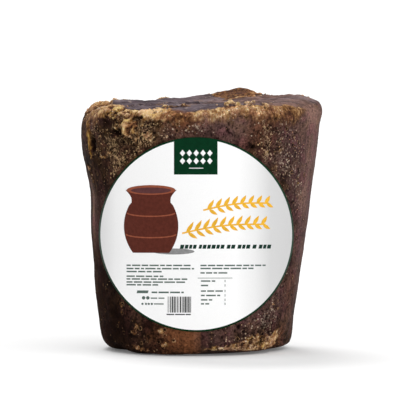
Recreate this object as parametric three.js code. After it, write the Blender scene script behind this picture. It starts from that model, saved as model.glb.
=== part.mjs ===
// A block of jaggery, raw cane sugar set hard in a bucket and turned out of it, with its paper label.
// Millimetres, +Z up. The origin is the middle of the flat foot, and the label faces -Y.
import * as THREE from 'three';
import { mergeVertices } from 'three/addons/utils/BufferGeometryUtils.js';

// The block: a bucket's inside, so it widens towards the top.
const FOOT_RADIUS = 40.6; // of the wall, carried down to the floor
const RIM_RADIUS = 52.6; // of the wall, carried up to the mean top
const TOP_HEIGHT = 107; // floor to the mean top, at the axis
const FOOT_ROUNDING = 5;
const RIM_ROUNDING = 5;
const AXIS_LEAN = 2.2; // how far the axis moves towards +X between the floor and the top

// The top surface, poured and set by hand.
const TOP_RISE = 0.029; // rise towards +X, per millimetre
const TOP_STRETCH = 24; // depth of wall that follows the top's unevenness
const FOLD_HEIGHT = 0.8;
const FOLD_SPACING = 17;
const FOLD_TURN = THREE.MathUtils.degToRad(118); // direction across the folds
const TOP_LUMPS = [
  { x: 16.5, y: 44, reach: 8.5, rise: 3.4 }, // curled-up tongue of crust at the back
  { x: -54, y: -4, reach: 8, rise: -4.6 }, // worn left shoulder
  { x: -36, y: 14, reach: 10, rise: 0.9 },
  { x: 12, y: -42, reach: 15, rise: 0.9 }, // crusted front rim
  { x: -22, y: -30, reach: 12, rise: -0.7 },
  { x: -22, y: 40, reach: 14, rise: -0.8 },
  { x: 46, y: 10, reach: 12, rise: 0.6 },
  { x: 3, y: 2, reach: 17, rise: -1.1 }, // sunk middle
];

// The wall's swellings (out > 0) and hollows: direction in degrees from +X, height, and reach of each.
const WALL_LUMPS = [
  { angle: 180, spread: 38, height: 88, reach: 10, out: 0.6 }, // crusted upper left
  { angle: 180, spread: 30, height: 105, reach: 5, out: -1.0 },
  { angle: 182, spread: 34, height: 68, reach: 9, out: -1.4 },
  { angle: 180, spread: 40, height: 28, reach: 17, out: 0.6 },
  { angle: 185, spread: 30, height: 1, reach: 7, out: -0.7 },
  { angle: 228, spread: 22, height: 90, reach: 12, out: 0.6 },
  { angle: 78, spread: 36, height: 58, reach: 20, out: 0.9 },
  { angle: 118, spread: 28, height: 90, reach: 14, out: 0.8 },
  { angle: 40, spread: 25, height: 20, reach: 14, out: -0.8 },
  { angle: 136, spread: 22, height: 36, reach: 12, out: -0.7 },
  { angle: 250, spread: 26, height: 4, reach: 10, out: 1.3 }, // spread foot at the front left
];
const ROUNDNESS_ERROR = 0.35; // of the bucket, as three even waves round the wall

// The paper label, a disc as seen from the front.
const LABEL_RADIUS = 41.4;
const LABEL_CENTRE = { x: -2, z: 52.6 };
const LABEL_PAPER = 0.4;
const LABEL_GAP = 0.3; // glue between the block and the paper
const LABEL_DROOP = 0.065; // the ends hang lower by this share of how far they lie behind the middle

// Fineness of the faceted surfaces.
const BLOCK_SEGMENTS = 84;
const FOOT_RINGS = 3;
const ROUNDING_STEPS = 5;
const WALL_STEPS = 20;
const TOP_RINGS = 12;
const LABEL_SEGMENTS = 44;
const LABEL_RINGS = 10;

const bell = (distance, reach) => Math.exp(-((distance / reach) ** 2));

function wallRadius(z) {
  return FOOT_RADIUS + ((RIM_RADIUS - FOOT_RADIUS) * z) / TOP_HEIGHT;
}

function axisShift(z) {
  return AXIS_LEAN * (z / TOP_HEIGHT - 1);
}

// How far the wall stands out of the plain cone, at an angle in radians and a height.
function wallSwell(angle, z) {
  let out = ROUNDNESS_ERROR * Math.sin(3 * angle) * (0.4 + z / TOP_HEIGHT);
  for (const lump of WALL_LUMPS) {
    const turn = THREE.MathUtils.euclideanModulo((angle * 180) / Math.PI - lump.angle + 180, 360) - 180;
    out += lump.out * bell(turn, lump.spread) * bell(z - lump.height, lump.reach);
  }
  return out;
}

// How far the top stands above its mean height.
function topRelief(x, y) {
  const across = x * Math.cos(FOLD_TURN) + y * Math.sin(FOLD_TURN);
  const wander = 1.3 * Math.sin(x / 13 + y / 29);
  const inside = 1 - THREE.MathUtils.smoothstep(Math.hypot(x, y), 0.62 * RIM_RADIUS, 0.94 * RIM_RADIUS);
  let rise = TOP_RISE * x + FOLD_HEIGHT * inside * Math.sin((2 * Math.PI * across) / FOLD_SPACING + wander);
  for (const lump of TOP_LUMPS) rise += lump.rise * bell(Math.hypot(x - lump.x, y - lump.y), lump.reach);
  return rise;
}

// Takes a point of the plain turned block to its place on the uneven one.
function settle(point) {
  const angle = Math.atan2(point.y, point.x);
  const radius = Math.hypot(point.x, point.y);
  const swollen = radius * (1 + wallSwell(angle, point.z) / wallRadius(point.z));
  const x = swollen * Math.cos(angle) + axisShift(point.z);
  const y = swollen * Math.sin(angle);
  const share = THREE.MathUtils.smoothstep(point.z, TOP_HEIGHT - TOP_STRETCH, TOP_HEIGHT);
  return point.set(x, y, point.z + share * topRelief(x, y));
}

function moveVertices(geometry, place) {
  const vertices = geometry.getAttribute('position');
  const point = new THREE.Vector3();
  for (let i = 0; i < vertices.count; i++) {
    place(point.fromBufferAttribute(vertices, i));
    vertices.setXYZ(i, point.x, point.y, point.z);
  }
}

// A turned solid with shared vertices, standing on Z.
function turned(profile, segments) {
  const geometry = new THREE.LatheGeometry(profile, segments).rotateX(Math.PI / 2);
  geometry.deleteAttribute('normal');
  geometry.deleteAttribute('uv');
  return mergeVertices(geometry, 1e-3);
}

function arc(centre, radius, from, to, steps) {
  return Array.from({ length: steps + 1 }, (_, i) => {
    const turn = THREE.MathUtils.lerp(from, to, i / steps);
    return new THREE.Vector2(centre.x + radius * Math.cos(turn), centre.y + radius * Math.sin(turn));
  });
}

function line(from, to, steps) {
  return Array.from({ length: steps - 1 }, (_, i) => from.clone().lerp(to, (i + 1) / steps));
}

// Half section of the plain block, from the middle of the foot round to the middle of the top.
function blockProfile() {
  const slope = Math.atan((RIM_RADIUS - FOOT_RADIUS) / TOP_HEIGHT);
  const flank = (radius) => radius / Math.cos(slope);
  const footCentre = new THREE.Vector2(
    wallRadius(FOOT_ROUNDING) - flank(FOOT_ROUNDING), FOOT_ROUNDING);
  const rimCentre = new THREE.Vector2(
    wallRadius(TOP_HEIGHT - RIM_ROUNDING) - flank(RIM_ROUNDING), TOP_HEIGHT - RIM_ROUNDING);
  const foot = arc(footCentre, FOOT_ROUNDING, -Math.PI / 2, -slope, ROUNDING_STEPS);
  const rim = arc(rimCentre, RIM_ROUNDING, -slope, Math.PI / 2, ROUNDING_STEPS);
  const start = new THREE.Vector2(0, 0);
  const end = new THREE.Vector2(0, TOP_HEIGHT);
  return [
    start, ...line(start, foot[0], FOOT_RINGS), ...foot,
    ...line(foot.at(-1), rim[0], WALL_STEPS), ...rim,
    ...line(rim.at(-1), end, TOP_RINGS), end,
  ];
}

function makeBlock() {
  const geometry = turned(blockProfile(), BLOCK_SEGMENTS);
  moveVertices(geometry, settle);
  return geometry;
}

// The point at x and z on the front of the wall, lifted off it by the given distance.
function onWall(x, z, lift) {
  let angle = -Math.PI / 2;
  for (let pass = 0; pass < 12; pass++) {
    const radius = wallRadius(z) + wallSwell(angle, z) + lift;
    angle = -Math.acos((x - axisShift(z)) / radius);
  }
  const radius = wallRadius(z) + wallSwell(angle, z) + lift;
  return new THREE.Vector3(x, radius * Math.sin(angle), z);
}

// Radii of the label's rings, closer together outwards, where the paper turns away round the wall.
function labelRings() {
  const wrap = Math.asin(LABEL_RADIUS / wallRadius(LABEL_CENTRE.z));
  return Array.from({ length: LABEL_RINGS + 1 }, (_, i) =>
    (LABEL_RADIUS * Math.sin((wrap * i) / LABEL_RINGS)) / Math.sin(wrap));
}

// A thin disc turned about Z, then laid round the wall: its Z becomes the lift off the wall.
function makeLabel() {
  const rings = labelRings();
  const inner = rings.map((radius) => new THREE.Vector2(radius, LABEL_GAP));
  const outer = rings.map((radius) => new THREE.Vector2(radius, LABEL_GAP + LABEL_PAPER));
  const geometry = turned([...inner, ...outer.reverse()], LABEL_SEGMENTS);
  const middle = onWall(LABEL_CENTRE.x, LABEL_CENTRE.z, 0).y;
  moveVertices(geometry, (point) => {
    const x = LABEL_CENTRE.x + point.x;
    const z = LABEL_CENTRE.z + point.y;
    const droop = LABEL_DROOP * (onWall(x, z, 0).y - middle);
    point.copy(onWall(x, z - droop, point.z));
  });
  return geometry;
}

// Puts the origin under the middle of the block's box, in X and Y.
function centre(geometries) {
  geometries[0].computeBoundingBox();
  const middle = geometries[0].boundingBox.getCenter(new THREE.Vector3());
  for (const geometry of geometries) geometry.translate(-middle.x, -middle.y, 0);
}

const sugar = new THREE.MeshStandardMaterial({ color: 0x5b4238, roughness: 0.55, metalness: 0 });
const paper = new THREE.MeshStandardMaterial({ color: 0xf4f4f2, roughness: 0.6, metalness: 0 });

const blockGeometry = makeBlock();
const labelGeometry = makeLabel();
centre([blockGeometry, labelGeometry]);

const block = new THREE.Mesh(blockGeometry, sugar);
block.name = 'jaggery_block';
const label = new THREE.Mesh(labelGeometry, paper);
label.name = 'label';

const jaggery = new THREE.Group();
jaggery.add(block, label);

export default jaggery;
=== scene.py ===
import math

import bmesh
import bpy
import numpy as np
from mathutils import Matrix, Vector, noise
from mathutils.bvhtree import BVHTree


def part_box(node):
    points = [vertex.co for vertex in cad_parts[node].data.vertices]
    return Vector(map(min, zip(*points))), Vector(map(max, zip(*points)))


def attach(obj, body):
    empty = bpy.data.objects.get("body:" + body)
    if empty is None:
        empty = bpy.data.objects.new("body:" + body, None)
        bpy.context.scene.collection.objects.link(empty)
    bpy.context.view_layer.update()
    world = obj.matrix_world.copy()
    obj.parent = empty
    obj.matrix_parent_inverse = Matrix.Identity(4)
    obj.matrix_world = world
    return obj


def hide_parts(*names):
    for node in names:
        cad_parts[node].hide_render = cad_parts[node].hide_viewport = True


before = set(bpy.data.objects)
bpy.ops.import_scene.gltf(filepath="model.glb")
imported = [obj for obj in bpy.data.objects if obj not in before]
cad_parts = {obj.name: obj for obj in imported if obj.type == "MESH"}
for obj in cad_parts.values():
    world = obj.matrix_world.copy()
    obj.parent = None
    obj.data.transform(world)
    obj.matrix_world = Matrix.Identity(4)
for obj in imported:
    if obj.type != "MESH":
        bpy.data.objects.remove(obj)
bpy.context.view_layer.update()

MM = 0.001  # a millimetre in metres; sizes below are in millimetres, and angles in degrees from +X

# ---- the block's outline ----
FOOT_RADIUS = 40.6
RIM_RADIUS = 52.6
TOP_LEVEL = 107.0
EDGE_ROUNDING = 5.0
COLUMNS = 470
FOOT_RINGS = 9
ROUNDING_RINGS = 12
WALL_ZONES = ((0.20, 30), (0.80, 60), (1.0, 36))  # share of the wall's height, and the rings up to there
TOP_ZONES = ((0.30, 24), (1.0, 22))
PROBE_DEPTH = 9.0  # rays start this far inside the plain outline
FACET_BLUR = 22  # passes that take the frame's facets off the form

# ---- where the skin changes: angle, height, spread in degrees, reach, amount ----
RIM_CRUST = [  # angle, how far the rim's crust hangs down and reaches in, how lumpy and how bright it is
    (0, 0.6, -2.0, 0.3, 0.3), (20, 1.5, -3.0, 0.5, 0.4), (45, 4.5, -3.0, 0.6, 0.5),
    (80, 7.0, -3.0, 0.6, 0.5), (120, 5.0, -3.0, 0.7, 0.5), (150, 3.5, 6.0, 0.8, 0.6),
    (175, 3.0, 11.0, 0.5, 0.55), (200, 4.0, 11.0, 0.6, 0.45), (213, 6.0, 8.0, 0.9, 0.45),
    (221, 7.0, 5.0, 1.0, 0.45), (228, 6.0, 1.0, 1.0, 0.5), (234, 4.5, 1.5, 0.7, 0.75),
    (240, 4.4, 3.5, 0.35, 1.0), (246, 4.4, 4.5, 0.3, 0.98), (251, 4.4, 3.0, 0.3, 0.75),
    (256, 4.5, 0.0, 0.2, 0.38), (262, 4.5, -2.2, 0.05, 0.2), (267, 4.5, -2.0, 0.05, 0.64),
    (274, 4.5, -0.5, 0.1, 0.92), (280, 4.5, 1.0, 0.2, 0.68), (288, 4.0, 2.0, 0.4, 0.55),
    (296, 4.0, 2.5, 0.3, 0.60), (304, 4.5, 2.5, 0.3, 0.64), (311, 5.5, 2.0, 0.25, 0.36),
    (318, 7.0, 2.0, 0.2, 0.52), (324, 5.0, 1.0, 0.1, 0.40), (330, 2.0, -1.0, 0.1, 0.3),
    (340, 0.4, -2.0, 0.1, 0.3),
]
RIM_KNOBS = [  # angle, distance in from the rim, radius, height
    (205, 2.0, 2.6, 0.5), (222, 0.5, 2.0, 0.8), (229, 0.5, 1.6, 0.7), (234, 0.5, 1.6, 0.9),
    (246, 5.0, 1.8, 0.7), (249, 6.4, 2.2, 1.0), (252, 6.6, 2.4, 1.0), (255, 8.4, 2.2, 1.1),
    (259, 9.6, 2.4, 1.1), (262, 8.0, 2.0, 0.8), (284, 3.0, 1.7, 1.1), (286.5, 4.2, 2.1, 1.6),
    (289.5, 3.4, 1.7, 1.2), (296, 4.2, 1.9, 1.3), (299.5, 4.8, 1.6, 1.0), (306, 3.5, 2.4, 0.6),
    (312, 4.5, 1.8, 0.5), (111, 3.0, 5.0, 0.8), (135, 3.0, 3.0, 0.8), (60, 1.0, 4.0, 0.5),
    (150, 3.0, 3.0, 1.0),
]
CRUST_PLACES = [
    (228, 102, 3.5, 3, 0.8),
    (232.5, 97.3, 3.6, 4.6, 1.0),
    (237, 100, 4, 2.5, 0.6),
    (221, 94.5, 4, 1.6, 0.7),
    (245, 96.5, 3.5, 4, 0.6),
    (238, 92.5, 2, 3, 0.5),
    (211, 96, 3, 3, 0.5),
    (200, 92, 1.8, 8, 1.0),
    (201, 98, 2.8, 3.5, 0.9),
    (280, 2.5, 8, 1.6, 1.0),
    (290, 3.0, 8, 2.4, 1.0),
    (300, 4.0, 8, 3.2, 1.1),
    (311, 4.6, 8, 3.6, 1.2),
    (320, 4.8, 7, 3.2, 1.1),
    (327, 5.5, 6.0, 5.0, 1.1),
    (247, 11.5, 2, 3, 0.6),
    (249, 5.0, 3, 1.6, 0.9),
    (254, 6.5, 1.5, 1.5, 0.7),
    (262, 8.5, 1.2, 1.2, 0.8),
    (227, 9.5, 2.2, 1.5, 1.0),
    (230, 12, 2, 3, 0.8),
    (219, 21, 1.5, 5, 0.7),
    (232, 3.2, 5, 2.4, 1.0),
    (222, 3.5, 4, 1.2, 0.7),
    (100, 92, 30, 9, 0.8),
    (60, 8, 22, 6, 0.8),
    (150, 60, 12, 10, 0.4),
    (128, 5, 15, 5, 0.7),
]
BRIGHT_PLACES = [  # where a crust is paler than the rest
    (242.5, 105.8, 7.5, 2.8, 0.70),
    (268, 106.0, 4.0, 3.0, 0.25),
    (211, 103.0, 4.0, 3.0, 0.20),
    (200, 91.0, 3.0, 9.0, 0.10),
    (200, 98.5, 3.0, 2.5, 0.05),
    (280, 2.0, 10, 3.0, 0.20),
    (232.5, 97.3, 4, 4, 0.28),
    (306, 5.0, 7, 6, 0.14),
    (316, 5.5, 4, 5, -0.10),
    (327, 5.0, 6, 6, 0.42),
    (229, 9.0, 6, 6, -0.20),
    (195, 101, 5, 6, -0.15),
    (278, 108, 9, 2.5, 0.12),
    (296, 107, 9, 2.5, 0.12),
    (207, 104, 8, 4, 0.20),
    (252, 110, 9, 2.3, -0.80),
    (217.3, 105.6, 3.6, 1.1, -0.55),
    (204, 105, 6, 3, 0.15),
    (146, 107, 12, 4, 0.35),
    (111, 108, 7, 4, 0.25),
    (100, 92, 30, 9, 0.2),
]
COMB_PLACES = [  # honeycombed by small bubbles
    (224, 92, 26, 18, 1.0),
    (244, 97, 16, 9, 0.9),
    (254, 98.5, 5, 4, 0.9),
    (268, 98, 9, 4, 0.7),
    (229, 82, 11, 6, 0.8),
    (306, 92, 14, 12, 0.7),
    (322, 82, 13, 16, 0.8),
    (334, 60, 8, 14, 0.5),
    (314, 16, 16, 12, 0.75),
    (290, 8, 12, 7, 0.5),
    (232, 8, 8, 10, 0.4),
    (100, 80, 40, 22, 0.9),
    (150, 40, 22, 26, 0.6),
    (60, 30, 25, 22, 0.8),
    (30, 60, 16, 20, 0.4),
]
SMOOTH_PLACES = [
    (345, 102, 17, 14, 1.0),
    (352, 60, 12, 60, 0.9),
    (188, 45, 22, 34, 0.9),
    (260, 9, 9, 12, 1.0),
    (266, 8, 4, 12, 0.8),
    (290, 99, 5, 6, 0.7),
    (80, 45, 22, 22, 0.6),
    (140, 30, 18, 20, 0.5),
]
SWELLS = [  # millimetres outwards, or inwards where negative
    (0, 105, 30, 5.5, 1.1),
    (0, 55, 35, 50, 0.5),
    (35, 107, 14, 8, 0.5),
    (186, 106, 22, 5, -1.2),
    (190, 98, 14, 5, 0.8),
    (211.4, 103, 3.4, 2.8, 1.5),
    (202.5, 104, 4, 3.6, 0.9),
    (207, 97.8, 4, 2.4, 0.9),
    (230.5, 98.6, 2.4, 3.2, 1.4),
    (223.5, 94.6, 5.0, 1.3, 1.3),
    (217.5, 99.8, 5.5, 2.4, -1.4),
    (225.2, 96.9, 3.4, 1.1, -1.0),
    (227, 92.3, 5.0, 1.6, -0.9),
    (237.6, 103.0, 3.6, 2.0, -1.0),
    (331, 2, 10, 6, -2.2),
    (342, 3.5, 10, 5, -1.7),
]
RIM_FADE = [  # angle, how softly the rim's crust ends on the wall
    (200, 4.7), (222, 3.0), (234, 2.2), (250, 2.2), (258, 3.5), (266, 4.0), (280, 4.7),
]
DULL_LUMPS = (254.0, 9.0, 0.75)  # lumps behind the rim that are less bright: angle, spread, amount
TONGUE = (16.0, 46.0, 9.0, 32.0)  # the curled crust on top: its middle, and half its width and length
FOAM_TRAILS = [  # foam that runs in lines: half width, amount, and the way it goes by angle and height
    (1.6, 1.0, ((213, 105.0), (219, 103.6), (226, 102.6), (231, 100.8), (234.5, 95.0))),
    (1.6, 0.9, ((234.5, 95.0), (239, 96.5), (245.5, 93.4))),
    (0.8, 1.2, ((222.5, 98.0), (224.5, 97.9), (226.5, 97.2))),
    (1.4, 0.8, ((209, 87.0), (214, 84.5), (220, 87.5), (226, 84.0), (231, 87.0))),
    (1.2, 0.7, ((222, 80.0), (225, 74.0), (223, 68.0))),
    (1.4, 0.9, ((221, 76.5), (226, 80.0), (232, 83.0), (239, 88.0))),
    (0.9, 0.8, ((194.0, 80.5), (197.5, 77.0), (197.0, 71.5))),
    (1.5, 0.6, ((302, 100.0), (305, 92.0), (303, 84.0))),
    (1.3, 0.5, ((312, 93.0), (315, 84.0), (318, 76.0), (317, 66.0))),
]
RING = (217.3, 106.2, 5.4, 1.8)  # a collapsed bubble's rim: angle, height, and half its width and height
BARE_PLACES = [  # hollows in the crust
    (217.5, 99.6, 5.5, 2.4, 1.0),
    (225.3, 96.4, 3.0, 1.2, 1.0),
    (237.6, 103.0, 3.0, 1.6, 1.0),
    (217.3, 106.0, 3.2, 0.9, 0.5),
]
CALM_PLACES = [  # crust without lumps
    (200, 90, 5, 10, 1.0),
    (202, 103.5, 6, 4.5, 0.9),
    (211.5, 103, 3.6, 3, 0.95),
    (217.3, 106.2, 6.5, 2.2, 0.95),
    (231, 98, 3, 3.5, 0.6),
    (327, 6, 6, 6, 0.8),
]
FOOT_LIFTS = [  # angle, spread, how far the chipped edge of the foot stays off the floor
    (207, 8, 2.0),
    (280, 14, 1.1),
    (332, 7, 1.9),
    (60, 12, 0.8),
    (150, 10, 1.0),
]
FOOT_CORNERS = [  # angle, spread, how much of the rounding is missing there
    (229, 11, 1.0),
    (250, 16, 1.0),
    (275, 26, 1.0),
    (306, 18, 1.0),
    (70, 30, 0.6),
]
CORNER_ROUNDING = 0.8  # of the foot's edge where the rounding is missing
FOOT_BREAKS = [(216, 14), (322, 8)]  # angle, spread: where the foot's edge is most ragged
CHIP_DEPTH = 0.6  # of the chips low on the wall
FAR_RIM = [  # how much higher the far rim stands, from left to right
    (-46, 0.7), (-44, 0.4), (-42.4, 0.2), (-41, -0.3), (-39.8, -1.0), (-38.5, 0.2), (-37.5, 0.5),
    (-36, 0.3), (-34.5, 0.0), (-32, -0.5), (-20, -0.5), (-17, 0.0), (-12, 0.0), (-9, -0.45),
    (-5, 0.0), (4, 0.35), (7.5, 0.35), (9, -0.2), (12.5, -0.5), (15.5, -0.2), (18, 0.3), (20.5, 0.4),
    (22.3, 0.0), (24.0, -0.5), (27, 0.0), (34, 0.0), (38, 0.5), (43, 0.6), (47, 0.1),
]
OLIVE_PLACES = [
    (226, 92, 28, 20, 1.0),
    (246, 96, 12, 10, 0.9),
    (200, 91, 3, 9, 0.9),
    (322, 15, 16, 14, 0.4),
    (308, 85, 10, 10, 0.3),
    (110, 85, 35, 20, 0.7),
    (60, 25, 25, 20, 0.6),
]
OCHRE_PLACES = [
    (200.5, 91, 3.5, 10, 1.0),
    (225, 102, 4, 4, 0.35),
    (231, 98, 5, 5, 0.25),
    (219, 21, 3, 6, 0.6),
]
# purple-brown tint; on the left strip and along the right edge it also stands in for a painted sheen
MAUVE_PLACES = [
    (350, 90, 26, 34, 1.0),
    (272, 103, 7, 4, 0.8),
    (255, 97, 8, 3.5, 0.8),
    (270, 97, 10, 4, 0.8),
    (345, 45, 22, 34, 0.8),
    (318, 92, 20, 20, 0.6),
    (288, 100, 11, 8, 0.95),
    (284, 97, 5, 4, 0.6),
    (315, 22, 24, 14, 0.8),
    (285, 11, 14, 10, 0.8),
    (200, 57, 9, 15, 0.9),
    (205, 104, 10, 6, 1.4),
    (30, 70, 30, 30, 0.7),
    (150, 70, 25, 25, 0.6),
]
RED_PLACES = [
    (260, 103, 9, 5, 1.0),
    (257, 9, 14, 11, 1.0),
    (265, 7, 4.5, 10, 1.0),
    (298, 100, 8, 10, 0.5),
    (305, 93, 6, 8, 0.3),
    (332, 4, 8, 7, 0.9),
    (336, 26, 9, 10, 0.35),
    (310, 2, 18, 4, 0.7),
    (314, 104, 8, 4, 0.6),
    (85, 99, 30, 6, 0.8),
    (110, 14, 14, 12, 0.8),
    (35, 100, 15, 5, 0.7),
]
RED_GAP = ((269.0, 270.5), (294.0, 284.0), (20.0, 15.0))  # no red low on the wall between these angles
PAINTED_SHADE_PLACES = [  # painted shade: darker than the rest, mostly on the left and low at the front-left, and in the crust's hollows
    (196, 24, 22, 26, 0.8),
    (333, 32, 7, 16, 0.3),
    (214, 8, 20, 16, 0.8),
    (202, 62, 4.5, 22, 0.55),
    (314, 18, 6, 5, 0.25),
    (186, 42, 12, 10, 0.35),
    (326, 68, 6, 10, 0.3),
    (180, 95, 9, 25, 0.6),
    (216, 100.5, 7, 4, 1.0),
    (226, 96.5, 4, 3, 1.0),
    (228, 91.5, 6, 3.5, 0.8),
    (240, 101, 5, 3, 0.7),
    (268, 97, 9, 3, 0.45),
    (212, 80, 10, 8, 0.5),
    (306, 97, 8, 4, 0.4),
    (316, 10.5, 9, 3, 0.55),
    (207, 85, 5, 4, 0.3),
    (319, 101, 4.5, 4, 0.3),
    (206, 74, 7, 8, 0.3),
    (298, 94, 5, 3, 0.3),
    (318, 88, 6, 5, 0.35),
    (310, 74, 5, 8, 0.35),
    (130, 45, 25, 25, 0.5),
]
# paler, rosier patches: on top they are the skin's own colour; on the wall's left strip and right edge they
# are a painted sheen
PALE_AND_SHEEN_PLACES = [
    (340, 104, 12, 6, 0.95),
    (345, 88, 9, 12, 0.2),
    (290, 100, 4, 5, 0.5),
    (284, 97, 4, 3, 0.25),
    (191.5, 60, 3.0, 13, 1.0),
    (340, 72, 6, 12, 0.6),
    (96, 110.5, 16, 2.5, 0.7),
    (20, 100, 16, 8, 0.7),
    (315, 108, 14, 4, 0.8),
    (0, 109.5, 28, 2.5, 0.35),
    (40, 108, 18, 4, 0.6),
    (267.5, 8, 2, 10, 0.2),
    (75, 108, 12, 4, 0.3),
]
CRUMB_PLACES = [  # on top, just inside the rim
    (289, 109, 6, 5, 0.7),
    (297, 109, 5, 5, 0.7),
    (248, 108, 10, 6, 0.4),
    (214, 107, 12, 6, 0.2),
    (60, 108, 25, 6, 0.25),
    (150, 108, 25, 6, 0.3),
]
PITS = [  # angle, height, radius, depth
    (204.8, 92.0, 2.7, 2.4),
    (204.2, 89.4, 2.7, 2.4),
    (195.3, 76.5, 1.4, 1.2),
    (216.5, 99.8, 2.0, 0.4),
    (224.0, 96.8, 1.5, 1.8),
    (226.4, 96.3, 1.7, 1.8),
    (228.2, 95.4, 1.0, 1.2),
    (219.7, 104.3, 0.8, 1.0),
    (233.5, 96.1, 0.8, 0.9),
    (238.5, 102.9, 1.4, 0.8),
    (236.0, 103.6, 1.0, 0.8),
    (247, 96.3, 0.8, 0.9),
    (227.7, 83.0, 0.9, 1.0),
    (237, 87.6, 0.8, 0.9),
    (246, 105.0, 0.7, 0.8),
    (282.8, 97.7, 1.0, 1.0),
    (296.6, 90.2, 1.2, 1.4),
    (323.9, 95.4, 1.0, 1.1),
    (321.7, 82.4, 0.9, 1.0),
    (311.6, 6.4, 1.8, 2.0),
    (310.6, 4.8, 1.1, 1.4),
    (293.5, 12.5, 1.2, 1.2),
    (314.2, 15.6, 1.3, 1.3),
    (322, 20, 0.8, 0.9),
    (95, 80, 1.8, 1.8),
    (120, 70, 1.1, 1.2),
    (62, 88, 1.4, 1.3),
    (40, 52, 1.0, 1.0),
    (150, 86, 1.3, 1.2),
]


def bell(distance, reach):
    return np.exp(-((distance / reach) ** 2))


def ease(low, high, value):
    share = np.clip((value - low) / (high - low), 0.0, 1.0)
    return share * share * (3.0 - 2.0 * share)


def sample(function, points):
    """One value of a noise function for each point of an (n, 3) array."""
    return np.fromiter((function(p) for p in points.tolist()), float, len(points))


def cloud(points, size, octaves=3, shift=0.0):
    """Soft noise from about -1 to 1, its largest lumps of the given size."""
    return sample(lambda p: noise.fractal(p, 0.9, 2.1, octaves), points / size + shift)


def cells(points, size, shift=0.0):
    """Distance to the nearest and second nearest of scattered points about a size apart, over that size."""
    def nearest(p):
        found = noise.voronoi(p)[0]
        return found[0], found[1]
    return np.array([nearest(p) for p in (points / size + shift).tolist()]).T


# ---- the block's skin as rings and columns ----
def bucket_profile():
    """Radius, height, and outward and upward slant of the plain outline, from the foot round to the top."""
    slope = math.atan((RIM_RADIUS - FOOT_RADIUS) / TOP_LEVEL)
    flank = EDGE_ROUNDING / math.cos(slope)

    def wall_radius(height):
        return FOOT_RADIUS + (RIM_RADIUS - FOOT_RADIUS) * height / TOP_LEVEL

    def rounding(height, start, end):
        turn = np.linspace(start, end, ROUNDING_RINGS)
        out, up = np.cos(turn), np.sin(turn)
        centre = wall_radius(height) - flank
        return np.stack([centre + EDGE_ROUNDING * out, height + EDGE_ROUNDING * up, out, up], 1)

    def straight(start, end, zones):
        """Rings between two others, closer together in some zones than in others; neither end is repeated."""
        shares, begin = [], 0.0
        for finish, count in zones:
            shares.append(np.linspace(begin, finish, count + 1)[1:])
            begin = finish
        share = np.concatenate(shares)[:-1, None]
        return start + (end - start) * share

    foot_edge = rounding(EDGE_ROUNDING, -math.pi / 2, -slope)
    rim_edge = rounding(TOP_LEVEL - EDGE_ROUNDING, -slope, math.pi / 2)
    foot = straight(np.array([0.0, 0.0, 0.0, -1.0]), foot_edge[0], ((1.0, FOOT_RINGS),))
    wall = straight(foot_edge[-1], rim_edge[0], WALL_ZONES)
    top = straight(rim_edge[-1], np.array([0.0, TOP_LEVEL, 0.0, 1.0]), TOP_ZONES)
    return np.concatenate([foot, foot_edge, wall, rim_edge, top])


def packed_surface(node):
    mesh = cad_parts[node].data
    corners = [v.co / MM for v in mesh.vertices]
    return BVHTree.FromPolygons(corners, [tuple(p.vertices) for p in mesh.polygons])


def ring_normals(grid):
    along = np.roll(grid, -1, 1) - np.roll(grid, 1, 1)
    across = np.gradient(grid, axis=0)
    normal = np.cross(along, across)
    return normal / np.linalg.norm(normal, axis=2, keepdims=True)


def block_form():
    """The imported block's form as a fine grid of rings and columns, with its facets smoothed off."""
    profile = bucket_profile()
    turn = np.arange(COLUMNS) * 2 * math.pi / COLUMNS
    facing = np.stack([np.cos(turn), np.sin(turn), np.zeros(COLUMNS)], 1)
    upward = np.array([0.0, 0.0, 1.0])
    plain = profile[:, None, 0:1] * facing + profile[:, None, 1:2] * upward
    outward = profile[:, None, 2:3] * facing + profile[:, None, 3:4] * upward
    surface = packed_surface("jaggery_block")
    grid = np.empty_like(plain)
    for ring in range(len(profile)):
        for column in range(COLUMNS):
            away = Vector(outward[ring, column])
            start = Vector(plain[ring, column]) - away * PROBE_DEPTH
            grid[ring, column] = surface.ray_cast(start, away)[0]
    for _ in range(FACET_BLUR):
        grid = (np.roll(grid, 1, 1) + 2 * grid + np.roll(grid, -1, 1)) / 4
        grid[1:-1] = (grid[:-2] + 2 * grid[1:-1] + grid[2:]) / 4
    return grid


def rim_distance(grid):
    """Length along each column from the middle of the rim's rounding, positive inwards over the top."""
    steps = np.linalg.norm(np.diff(grid, axis=0), axis=2)
    length = np.concatenate([np.zeros((1, grid.shape[1])), np.cumsum(steps, 0)])
    wall_rings = sum(count for _, count in WALL_ZONES)
    middle = FOOT_RINGS + ROUNDING_RINGS + wall_rings + ROUNDING_RINGS // 2
    return length - length[middle]


def turn_from(angle, at):
    """Degrees from one direction to others, between -180 and 180."""
    return (angle - at + 180.0) % 360.0 - 180.0


def patches(angle, height, places):
    total = np.zeros_like(angle)
    for at, level, spread, reach, amount in places:
        total += amount * bell(turn_from(angle, at), spread) * bell(height - level, reach)
    return total


def path_distance(angle, height, path):
    """How far points of the wall lie from a line on it."""
    arc = math.radians(1.0) * RIM_RADIUS
    nearest = np.full(len(angle), 1e9)
    for (at, level), (to, end) in zip(path, path[1:]):
        across, up = turn_from(angle, at) * arc, height - level
        run = np.array([(to - at) * arc, end - level])
        share = np.clip((across * run[0] + up * run[1]) / (run @ run), 0.0, 1.0)
        nearest = np.minimum(nearest, np.hypot(across - share * run[0], up - share * run[1]))
    return nearest


def ring_height(angle, height):
    """The raised lip round a collapsed bubble, from 0 to 1."""
    at, level, half_width, half_height = RING
    away = np.hypot(turn_from(angle, at) / half_width, (height - level) / half_height)
    return bell(away - 1.0, 0.28)


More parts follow.
